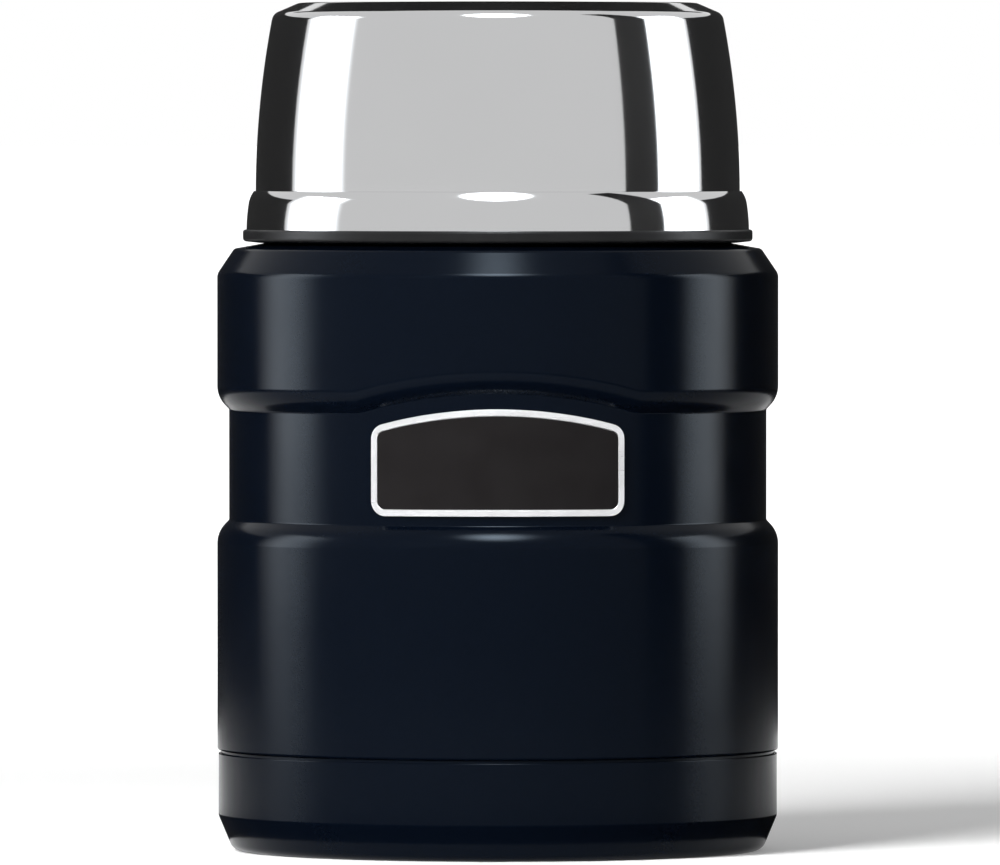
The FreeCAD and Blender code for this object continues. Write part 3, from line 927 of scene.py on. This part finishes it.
@dataclass
class Badge:
    """The plain badge in the recess: a silver plate with a dark field."""

    finishes: Finishes
    back: float = 45.24
    thickness: float = 0.7
    pocket: float = 0.3
    half_width: float = 21.4
    bottom: float = 57.0
    top: float = 74.7
    corner: float = 2.5
    border: float = 1.1
    border_edge: float = 0.12
    field_edge: float = 0.08
    sharp_angle: float = math.radians(60)
    arch_radius: float = 93.0
    film: float = 0.05
    across_steps: int = 72

    def build(self) -> None:
        """Makes the plate and its field, and dresses the film behind."""
        front = self.back + self.thickness
        plate = self._layer(self.back, front - self.pocket, 0.0, 0.0)
        rim = self._rim(front - self.pocket, front)
        made = Shop.place("badge_backing", plate, self.finishes.silver, Body.JAR)
        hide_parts("badge_plate")
        border = Shop.place("badge_border", rim, self.finishes.silver, Body.JAR)
        inlay = self._layer(front - self.pocket, front - self.film, self.border + self.film, self.field_edge)
        inset = Shop.place("badge_field", inlay, self.finishes.enamel, Body.JAR)
        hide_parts("badge_inlay")
        Shop.dress("badge_adhesive", self.finishes.glue)

    def _outline(self, inset: float, steps: int = 8) -> List[Vector]:
        """The badge's outline, laid flat.

        Args:
            inset: How far it is drawn in, in millimetres.
            steps: Spans in each rounded corner and four times as many in the arch.

        Returns:
            Points of width and height, in millimetres, in order.
        """
        half = self.half_width - inset
        drop = self.half_width * self.half_width / (2 * self.arch_radius)
        corner = self.corner - inset
        top = self.top - inset
        low = self.bottom + inset
        high = top - drop
        found: List[Vector] = []
        for side, height, start in ((1, low, -90), (1, high, 0), (-1, high, 90), (-1, low, 180)):
            inward = corner if start in (-90, 180) else -corner
            centre = Vector((side * (half - corner), height + inward))
            lean = math.degrees(self.half_width / self.arch_radius)
            first = start if start != 90 else start + lean
            last = start + 90 if start != 0 else start + 90 - lean
            for step in range(steps + 1):
                angle = math.radians(first + (last - first) * step / steps)
                found.append(centre + Vector((math.cos(angle), math.sin(angle))) * corner)
            if start == 0:
                begin = found[-1]
                for step in range(1, steps * 4):
                    place = 1 - step / (steps * 2)
                    bend = (top - begin.y) * (1 - place ** 2)
                    found.append(Vector((begin.x * place, begin.y + bend)))
        return found

    def _laid(self, mesh: bmesh.types.BMesh, back: float, inset: float) -> List:
        """Adds the outline's verts, flat, at the layer's back, and returns them."""
        points = self._outline(inset)
        return [mesh.verts.new((point.x * MM, -back * MM, point.y * MM)) for point in points]

    def _wrapped(self, mesh: bmesh.types.BMesh) -> None:
        """Bends a flat layer, drawn in X and Z with its depth in Y, round the recess."""
        for vert in mesh.verts:
            radius = -vert.co.y
            angle = vert.co.x / (self.back * MM)
            vert.co.x = radius * math.sin(angle)
            vert.co.y = -radius * math.cos(angle)

    def _diced(self, mesh: bmesh.types.BMesh) -> None:
        """Cuts a flat layer into upright strips, so that it bends smoothly."""
        for step in range(1, self.across_steps):
            place = self.half_width * (2 * step / self.across_steps - 1) * MM
            bmesh.ops.bisect_plane(
                mesh,
                geom=mesh.verts[:] + mesh.edges[:] + mesh.faces[:],
                plane_co=(place, 0, 0),
                plane_no=(1, 0, 0),
                dist=TOUCHING,
            )

    def _raised(self, mesh: bmesh.types.BMesh, back: float, front: float, edge: float) -> None:
        """Gives a flat layer its thickness and a softened front edge.

        Args:
            mesh: The flat layer.
            back: Radius of its back, in millimetres.
            front: Radius of its front, in millimetres.
            edge: Size of its softened edge, in millimetres.
        """
        extruded = bmesh.ops.extrude_face_region(mesh, geom=mesh.faces[:])
        moved = [item for item in extruded["geom"] if isinstance(item, bmesh.types.BMVert)]
        bmesh.ops.translate(mesh, verts=moved, vec=(0, -(front - back) * MM, 0))
        bmesh.ops.recalc_face_normals(mesh, faces=mesh.faces)
        if edge:
            rims = [
                item for item in mesh.edges
                if all(abs(vert.co.y + front * MM) < TOUCHING for vert in item.verts)
                and item.calc_face_angle(0) > self.sharp_angle
            ]
            bmesh.ops.bevel(
                mesh,
                geom=rims,
                offset=edge * MM,
                segments=3,
                profile=0.5,
                affect="EDGES",
                material=-1,
            )

    def _layer(self, back: float, front: float, inset: float, edge: float) -> bmesh.types.BMesh:
        """A full layer of the badge.

        Args:
            back: Radius of its back, in millimetres.
            front: Radius of its front, in millimetres.
            inset: How far its outline is drawn in, in millimetres.
            edge: Size of its softened edge, in millimetres.

        Returns:
            The layer's mesh, in metres.
        """
        mesh = bmesh.new()
        mesh.faces.new(self._laid(mesh, back, inset))
        self._raised(mesh, back, front, edge)
        self._diced(mesh)
        self._wrapped(mesh)
        Shop.tidy(mesh)
        return mesh

    def _rim(self, back: float, front: float) -> bmesh.types.BMesh:
        """The raised border.

        Args:
            back: Radius of its back, in millimetres.
            front: Radius of its front, in millimetres.

        Returns:
            The border's mesh, in metres.
        """
        mesh = bmesh.new()
        loops = []
        for inset in (0.0, self.border):
            verts = self._laid(mesh, back, inset)
            loops += [mesh.edges.new(pair) for pair in zip(verts, verts[1:] + verts[:1])]
        bmesh.ops.bridge_loops(mesh, edges=loops)
        self._raised(mesh, back, front, self.border_edge)
        self._diced(mesh)
        self._wrapped(mesh)
        Shop.tidy(mesh)
        return mesh


@dataclass
class Stopper:
    """The screw stopper: plug, foam, dished cap and seal."""

    finishes: Finishes
    plug_radius: float = 33.5
    spigot_radius: float = 31.5
    lip: float = 0.9
    bottom: float = 100.0
    lip_top: float = 102.2
    spigot_top: float = 105.0
    flange_bottom: float = 120.1
    flange_radius: float = 36.0
    cap_bottom: float = 122.1
    cap_top: float = 128.7
    cap_rim: float = 3.2
    dish_floor: float = 121.6
    grip_count: int = 24
    grip_radius: float = 2.0
    grip_depth: float = 0.7
    grip_reach: float = 1.2
    wall: float = 2.0
    play: float = 0.1
    fine_rounding: float = 0.3
    flange_rounding: float = 0.4
    seam_rounding: float = 0.25
    rim_rounding: float = 0.8
    dish_rounding: float = 0.9
    dish_taper: float = 0.6
    spigot_depth: float = 3.0
    cap_steps: int = 480
    thread_height: float = 1.4
    thread_start: float = 108.6
    seal_height: float = 2.5
    seal_foot: float = 32.65
    seal_radius: float = 33.6
    seal_cone_top: float = 103.35

    def build(self) -> None:
        """Makes every piece of the stopper."""
        self._plug()
        self._cap()
        self._seal()
        Shop.dress("stopper_foam", self.finishes.foam)

    def _plug(self) -> None:
        """The threaded plug."""
        lip = self.spigot_radius + self.lip
        bore = self.plug_radius - self.wall
        plug = Section(0, self.bottom)
        plug.to(lip, self.bottom, self.lip)
        plug.to(lip, self.lip_top, self.fine_rounding)
        plug.to(self.spigot_radius, self.lip_top)
        plug.to(self.spigot_radius, self.spigot_top)
        plug.to(self.plug_radius, self.spigot_top, self.fine_rounding)
        plug.to(self.plug_radius, self.flange_bottom, self.fine_rounding)
        plug.to(self.flange_radius, self.flange_bottom, self.flange_rounding)
        plug.to(self.flange_radius, self.cap_bottom, self.seam_rounding)
        plug.to(bore, self.cap_bottom)
        plug.to(bore, self.spigot_top + self.wall)
        plug.to(self.spigot_radius - self.wall, self.spigot_top + self.wall)
        plug.to(self.spigot_radius - self.wall, self.bottom + self.wall)
        plug.to(0, self.bottom + self.wall)
        mesh = Shop.turned(plug.points(arc_steps=5))
        piece = Shop.place("threaded_plug", mesh, self.finishes.plastic, Body.STOPPER)
        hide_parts("stopper_plug")
        thread = Thread(self.plug_radius, self.thread_height, self.thread_start)
        ridges = Shop.place("plug_thread", thread.build(), self.finishes.plastic, Body.STOPPER)

    def _cap(self) -> None:
        """The dished cap with finger grips."""
        rim = self.flange_radius
        inner = rim - self.cap_rim
        spigot = self.plug_radius - self.wall - self.play
        cap = Section(0, self.cap_bottom - self.spigot_depth)
        cap.to(spigot, self.cap_bottom - self.spigot_depth)
        cap.to(spigot, self.cap_bottom)
        cap.to(rim, self.cap_bottom, self.seam_rounding)
        cap.to(rim, self.cap_top, self.rim_rounding)
        cap.to(inner, self.cap_top, self.rim_rounding)
        cap.to(inner - self.dish_taper, self.dish_floor, self.dish_rounding)
        cap.to(0, self.dish_floor)
        mesh = Shop.turned(cap.points(arc_steps=6), self.cap_steps)
        for vert in mesh.verts:
            self._gripped(vert)
        piece = Shop.place("dished_cap", mesh, self.finishes.plastic, Body.STOPPER)
        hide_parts("stopper_cap")

    def _gripped(self, vert: bmesh.types.BMVert) -> None:
        """Presses a grip's hollow into the cap's side."""
        radius = math.hypot(vert.co.x, vert.co.y) / MM
        height = vert.co.z / MM
        if radius < self.flange_radius - self.grip_reach or height < self.cap_bottom + self.play:
            return
        pitch = math.tau / self.grip_count
        angle = (math.atan2(vert.co.y, vert.co.x) + pitch / 2) % pitch - pitch / 2
        offset = self.flange_radius + self.grip_radius - self.grip_depth
        across = offset * math.sin(angle)
        if abs(across) < self.grip_radius:
            wall = offset * math.cos(angle) - math.sqrt(self.grip_radius ** 2 - across ** 2)
            if wall < radius:
                vert.co.x *= wall / radius
                vert.co.y *= wall / radius

    def _seal(self) -> None:
        """The soft ring that closes on the seat."""
        bore = self.spigot_radius + self.play
        top = self.spigot_top - self.play
        bottom = top - self.seal_height
        seal = Section(bore, bottom)
        seal.to(self.seal_foot, bottom, self.seam_rounding)
        seal.to(self.seal_radius, self.seal_cone_top, self.flange_rounding)
        seal.to(self.seal_radius, top, self.fine_rounding)
        seal.to(bore, top)
        mesh = Shop.turned(seal.points(arc_steps=5))
        piece = Shop.place("seat_seal", mesh, self.finishes.silicone, Body.STOPPER_RING)
        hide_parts("stopper_seal")


@dataclass
class BowlLid:
    """The screw lid that doubles as a bowl: polished shell, collar, liner and gasket."""

    finishes: Finishes
    top: float = 142.0
    face_radius: float = 33.2
    edge_radius: float = 37.6
    face_rounding: float = 2.5
    edge_drop: float = 1.9
    edge_rounding: float = 1.8
    barrel_radius: float = 40.56
    barrel_top_radius: float = 37.85
    barrel_top: float = 139.05
    barrel_bow: float = 0.65
    ledge: float = 110.5
    ledge_width: float = 0.29
    ledge_sink: float = 0.05
    ledge_drop: float = 2.2
    ledge_bow: float = 0.15
    skirt_flare: float = 0.35
    skirt_foot_bow: float = 0.08
    skirt_radius: float = 42.1
    skirt_bottom: float = 104.0
    skirt_bow: float = 0.31
    wall: float = 0.6
    face_inset: float = 0.1
    bead_radius: float = 42.7
    bead_bottom: float = 102.05
    bead_rounding: float = 0.6
    bead_top_rounding: float = 0.45
    bore: float = 38.9
    foot_radius: float = 40.1
    foot_height: float = 101.783
    bore_height: float = 101.998
    foot_rounding: float = 0.3
    collar_radius: float = 41.0
    collar_step: float = 107.0
    collar_upper_radius: float = 39.56
    collar_top: float = 117.0
    collar_mouth_rounding: float = 0.15
    thread_height: float = 1.4
    thread_start: float = 108.69
    liner_mouth: float = 37.85
    liner_top: float = 36.55
    liner_bottom: float = 117.6
    liner_wall: float = 0.5
    liner_shoulder: float = 133.0
    liner_shoulder_rounding: float = 4.0
    ceiling: float = 139.0
    ceiling_rounding: float = 5.0
    ceiling_corner: float = 3.0
    flange_radius: float = 39.46
    gasket_bore: float = 38.16
    gasket_bottom: float = 117.1
    gasket_top: float = 117.5
    gasket_rounding: float = 0.1

    def build(self) -> None:
        """Makes every piece of the lid."""
        self._shell()
        self._collar()
        self._liner()
        self._gasket()

    def _shell(self) -> None:
        """The polished outer shell."""
        wall = self.wall
        ledge_edge = self.barrel_radius + self.ledge_width
        shell = Section(self.skirt_radius, self.skirt_bottom)
        foot_top = self.ledge - self.ledge_drop
        shell.bow(self.skirt_radius - self.skirt_flare, foot_top, self.skirt_foot_bow)
        shell.bow(ledge_edge, self.ledge - self.ledge_sink, self.ledge_bow)
        shell.to(self.barrel_radius, self.ledge)
        shell.bow(self.barrel_top_radius, self.barrel_top, self.barrel_bow)
        shell.to(self.edge_radius, self.top - self.edge_drop, self.edge_rounding)
        shell.to(self.face_radius, self.top, self.face_rounding)
        shell.to(0, self.top)
        shell.to(0, self.top - wall)
        shell.to(self.face_radius - self.face_inset, self.top - wall)
        shell.to(self.edge_radius - wall, self.top - self.edge_drop - wall / 2)
        shell.bow(self.barrel_radius - wall, self.ledge, -self.barrel_bow)
        shell.to(ledge_edge - wall, self.ledge - 2 * self.ledge_sink)
        shell.bow(self.skirt_radius - wall, self.skirt_bottom, -self.skirt_bow)
        mesh = Shop.turned(shell.points(arc_steps=8, bow_steps=28))
        piece = Shop.place("polished_shell", mesh, self.finishes.polished, Body.BOWL)
        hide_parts("bowl_outer_shell")

    def _collar(self) -> None:
        """The black collar with its bead and thread."""
        collar = Section(self.bore, self.bore_height)
        collar.to(self.foot_radius, self.foot_height, self.foot_rounding)
        collar.to(self.bead_radius, self.bead_bottom, self.bead_rounding)
        collar.to(self.bead_radius, self.skirt_bottom, self.bead_top_rounding)
        collar.to(self.collar_radius, self.skirt_bottom)
        collar.to(self.collar_radius, self.collar_step)
        collar.to(self.collar_upper_radius, self.collar_step)
        collar.to(self.collar_upper_radius, self.collar_top)
        collar.to(self.bore, self.collar_top, self.collar_mouth_rounding)
        mesh = Shop.turned(collar.points(arc_steps=8))
        piece = Shop.place("thread_collar", mesh, self.finishes.bead, Body.BOWL)
        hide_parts("bowl_collar")
        thread = Thread(self.bore, -self.thread_height, self.thread_start)
        ridges = Shop.place("collar_thread", thread.build(), self.finishes.bead, Body.BOWL)

    def _liner(self) -> None:
        """The bowl's inner wall and its flange."""
        bottom = self.liner_bottom
        wall = self.liner_wall
        liner = Section(self.liner_mouth, bottom)
        liner.to(self.liner_top, self.liner_shoulder, self.liner_shoulder_rounding)
        liner.to(self.liner_top, self.ceiling, self.ceiling_rounding)
        liner.to(0, self.ceiling)
        liner.to(0, self.ceiling + wall)
        liner.to(self.liner_top - self.ceiling_corner, self.ceiling + wall)
        liner.to(self.liner_top + wall, self.ceiling - self.ceiling_corner)
        liner.to(self.liner_top + wall, self.liner_shoulder)
        liner.to(self.liner_mouth + wall, bottom + wall)
        liner.to(self.flange_radius, bottom + wall)
        liner.to(self.flange_radius, bottom)
        mesh = Shop.turned(liner.points(arc_steps=8))
        piece = Shop.place("bowl_liner", mesh, self.finishes.brushed, Body.BOWL)
        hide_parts("bowl_inner_liner")

    def _gasket(self) -> None:
        """The soft ring under the liner's flange."""
        ring = Section(self.gasket_bore, self.gasket_bottom)
        ring.to(self.flange_radius, self.gasket_bottom, self.gasket_rounding)
        ring.to(self.flange_radius, self.gasket_top, self.gasket_rounding)
        ring.to(self.gasket_bore, self.gasket_top)
        mesh = Shop.turned(ring.points(arc_steps=4))
        piece = Shop.place("flange_gasket", mesh, self.finishes.silicone, Body.BOWL_RING)
        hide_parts("liner_gasket")


@dataclass(frozen=True)
class Lamp:
    """A soft box that faces the jar, with its angles in degrees as the jar sees them.

    A raised lamp is an ellipse that hangs at its elevation. One without elevation is an upright
    rectangle with its middle at a height over the floor.
    """

    name: str
    azimuth: float
    width: float
    height: float
    radiance: float
    elevation: float = 0.0
    middle: float = 0.30
    even_share: float = 0.15

    def build(self, distance: float, aim: float) -> bpy.types.Object:
        """Hangs the lamp.

        Args:
            distance: How far it is from where it points, in metres.
            aim: Height on the axis that a raised lamp points at, in metres.

        Returns:
            The lamp, which the camera doesn't see.
        """
        across = 2 * distance * math.tan(math.radians(self.width / 2))
        data = bpy.data.lights.new(self.name, "AREA")
        data.shape = "ELLIPSE" if self.elevation else "RECTANGLE"
        data.size = across
        data.size_y = self.height
        data.energy = self.radiance * math.pi * across * self.height
        turn = math.radians(self.azimuth)
        lift = math.radians(self.elevation)
        flat = distance * math.cos(lift)
        up = distance * math.sin(lift) if self.elevation else self.middle
        place = Vector((flat * math.sin(turn), -flat * math.cos(turn), up))
        target = Vector((0, 0, aim if self.elevation else up))
        light = Shop.linked(self.name, data)
        light.location = place
        light.rotation_euler = (target - place).to_track_quat("-Z", "Y").to_euler()
        light.visible_camera = False
        return light

    def soften(self, data: bpy.types.AreaLight) -> None:
        """Fades the lamp towards its edges: all round when it is raised, or else at its sides.

        Args:
            data: The lamp's data.
        """
        data.use_nodes = True
        graph = Graph(data.node_tree)
        centred = graph.node("ShaderNodeMapping")
        centred.inputs["Location"].default_value = (-1, -1 if self.elevation else 0, 0)
        centred.inputs["Scale"].default_value = (2, 2 if self.elevation else 0, 0)
        geometry = graph.node("ShaderNodeNewGeometry")
        graph.join(geometry.outputs["Parametric"], centred.inputs["Vector"])
        reach = graph.node("ShaderNodeVectorMath", operation="LENGTH")
        graph.join(centred.outputs["Vector"], reach.inputs[0])
        span = (1.0, 0.0 if self.elevation else self.even_share)
        fade = graph.spread(reach.outputs["Value"], (0, 1), span, "SMOOTHSTEP")
        graph.join(fade, graph.nodes["Emission"].inputs["Strength"])


@dataclass(frozen=True)
class Card:
    """A card that only gloss shows.

    An upright card faces the jar, with its angles in degrees as the jar sees them, and its edges
    are heights over the floor, in metres. A card with no width is a ring on the floor, and its
    edges are radii.
    """

    name: str
    edges: Point
    azimuth: float = 0.0
    width: float = 0.0
    distance: float = 1.5
    floor_gap: float = 0.0004
    steps: int = 48

    def build(self, finish: bpy.types.Material) -> None:
        """Sets the card up.

        Args:
            finish: Its material.
        """
        if self.width:
            ends = [(self.distance, 0, height) for height in self.edges]
        else:
            ends = [(radius, 0, self.floor_gap) for radius in self.edges]
        mesh = bmesh.new()
        verts = [mesh.verts.new(end) for end in ends]
        rail = mesh.edges.new(verts)
        if self.width:
            start = Matrix.Rotation(math.radians(self.azimuth - self.width / 2 - 90), 3, "Z")
            bmesh.ops.rotate(mesh, verts=verts, cent=(0, 0, 0), matrix=start)
        bmesh.ops.spin(
            mesh,
            geom=[*verts, rail],
            cent=(0, 0, 0),
            axis=(0, 0, 1),
            dvec=(0, 0, 0),
            angle=math.radians(self.width) or math.tau,
            steps=self.steps,
            use_merge=not self.width,
        )
        card = Shop.made(self.name, mesh, finish)
        card.visible_camera = False
        card.visible_diffuse = False
        card.visible_shadow = False


@dataclass
class Studio:
    """The floor, the white surroundings, the lamps, the dark cards and the camera."""

    floor_half: float = 60.0
    floor_shade: float = 0.92
    floor_roughness: float = 0.9
    shadow_reach: float = 0.25
    white_reach: float = 0.80
    near_glow: float = 0.19
    world_light: float = 0.30
    lamp_distance: float = 1.6
    lamp_aim: float = 0.07
    lamp_colour: Colour = (0.90, 0.95, 1.0)
    left_box: Lamp = Lamp("left_box", -95, 38, 1.6, 11.0)
    right_box: Lamp = Lamp("right_box", 95.5, 35, 1.6, 10.5)
    top_box: Lamp = Lamp("top_box", -1, 28, 1.2, 45.0, elevation=54.0)
    key_light: Lamp = Lamp("key_light", -32, 26, 0.70, 28.0, elevation=27.0)
    dark_shade: float = 0.035
    dark_cards: Tuple[Card, ...] = (
        Card("left_card", (0.0, 0.62), -145.5, 63),
        Card("right_card", (0.0, 0.62), 144.75, 64.5),
        Card("high_card", (0.76, 1.92), 180, 44),
        Card("foot_card", (0.048, 0.13)),
        Card("far_card", (0.5, 1.5)),
    )
    grey_shade: float = 0.055
    grey_card: Card = Card("strip_card", (0.0, 2.4), 72, 19)
    camera_distance: float = 2.6
    camera_height: float = 0.123
    camera_side: float = 0.000374
    camera_tilt: float = 1.1685
    camera_reach: float = 200.0
    lens: float = 558.6
    sensor: float = 36.0

    def build(self) -> None:
        """Sets the stage."""
        bpy.context.scene.view_settings.view_transform = "Standard"
        self._world()
        self._floor()
        self._lamps()
        self._cards()
        self._camera()

    def _world(self) -> None:
        """White where it is seen straight on, in gloss and through glass, and softer as light."""
        world = bpy.data.worlds.new("studio_world")
        bpy.context.scene.world = world
        world.use_nodes = True
        graph = Graph(world.node_tree)
        back = graph.nodes["Background"]
        back.inputs["Color"].default_value = (1, 1, 1, 1)
        level = graph.spread(graph.shown(), (self.world_light, 1.0), (0, 1))
        graph.join(level, back.inputs["Strength"])

    def _floor(self) -> None:
        """A pale floor that keeps the jar's shadow, and that only looks white further away."""
        mesh = bmesh.new()
        bmesh.ops.create_grid(mesh, x_segments=2, y_segments=2, size=self.floor_half)
        shader = Shader("floor_white")
        shader.set(Roughness=self.floor_roughness, Specular_IOR_Level=0.0)
        shader.set(Base_Color=(*[self.floor_shade] * 3, 1), Emission_Color=(1, 1, 1, 1))
        reach = shader.node("ShaderNodeVectorMath", operation="LENGTH")
        shader.join(shader.place(), reach.inputs[0])
        span = (self.shadow_reach, self.white_reach)
        glow = shader.spread(reach.outputs["Value"], (self.near_glow, 1.0), span, "SMOOTHSTEP")
        strength = shader.math("MULTIPLY", glow, shader.shown())
        shader.join(strength, shader.surface.inputs["Emission Strength"])
        floor = Shop.made("floor", mesh, shader.material)

    def _lamps(self) -> None:
        """Hangs three soft boxes that only gloss shows, and a key light that gloss doesn't show."""
        for lamp in (self.left_box, self.right_box, self.top_box):
            box = lamp.build(self.lamp_distance, self.lamp_aim)
            lamp.soften(box.data)
            box.data.color = self.lamp_colour
            box.visible_diffuse = False
        key = self.key_light.build(self.lamp_distance, self.lamp_aim)
        key.visible_glossy = False

    def _cards(self) -> None:
        """Dark cards out of the camera's view, which draw the edges of metal and paint."""
        dark = self._card_paint("dark_card", self.dark_shade)
        for card in self.dark_cards:
            card.build(dark)
        self.grey_card.build(self._card_paint("grey_card", self.grey_shade))

    def _card_paint(self, name: str, shade: float) -> bpy.types.Material:
        """A matt paint for cards.

        Args:
            name: The paint's name.
            shade: How light it is.

        Returns:
            The material.
        """
        shader = Shader(name)
        shader.set(Base_Color=(shade, shade, shade, 1), Roughness=1.0, Specular_IOR_Level=0.0)
        return shader.material

    def _camera(self) -> None:
        """The camera at the photograph's place."""
        data = bpy.data.cameras.new("camera")
        data.lens = self.lens
        data.sensor_width = self.sensor
        data.clip_end = self.camera_reach
        camera = Shop.linked("camera", data)
        camera.location = (self.camera_side, -self.camera_distance, self.camera_height)
        camera.rotation_euler = (math.radians(90 - self.camera_tilt), 0, 0)
        bpy.context.scene.camera = camera


def main() -> None:
    """Builds the pieces in order and sets the stage."""
    logging.basicConfig(level=logging.INFO, format="%(name)s: %(message)s")
    finishes = Finishes()
    Studio().build()
    JarBody(finishes).build()
    Badge(finishes).build()
    Stopper(finishes).build()
    BowlLid(finishes).build()


if __name__ == "__main__":
    main()
